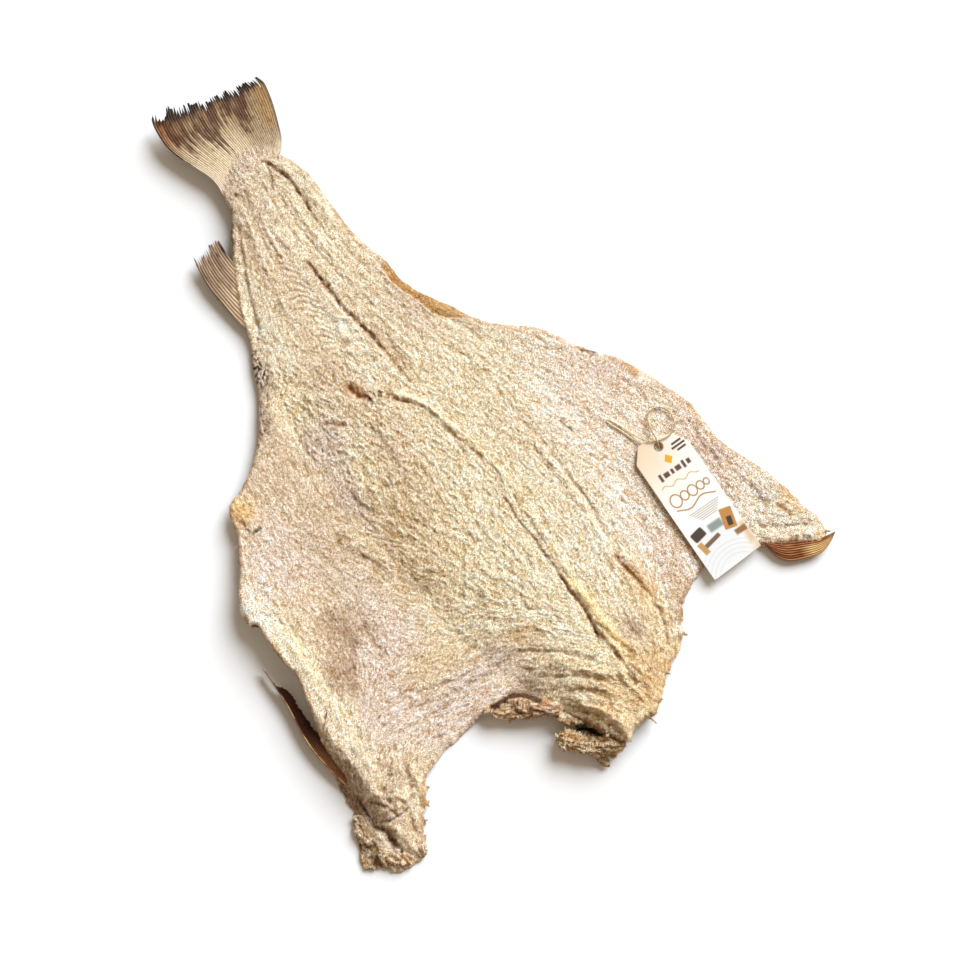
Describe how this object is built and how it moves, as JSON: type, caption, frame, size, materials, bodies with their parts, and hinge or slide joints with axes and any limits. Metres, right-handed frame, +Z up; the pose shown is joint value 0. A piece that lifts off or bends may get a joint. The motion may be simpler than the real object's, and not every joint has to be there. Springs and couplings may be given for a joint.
{
  "type": "dried split cod",
  "caption": "Whole cod split and opened flat, salted and dried, lying flesh side up with its fins, with a paper hang tag on a loop of thin twine.",
  "frame": {"origin": "middle of the part's box in X and Y, at the surface that it lies on", "axes": "+Z up from that surface, +Y along the fish towards its tail, +X towards the flap that carries the tag"},
  "size_m": [0.5473, 0.7741, 0.0446],
  "materials": {
    "flesh": "rough, dry, salted",
    "card": "printed, satin",
    "cotton": "twisted, matt"
  },
  "bodies": {
    "root": {"cod": "flesh", "tag": "card", "twine": "cotton"}
  },
  "joints": []
}
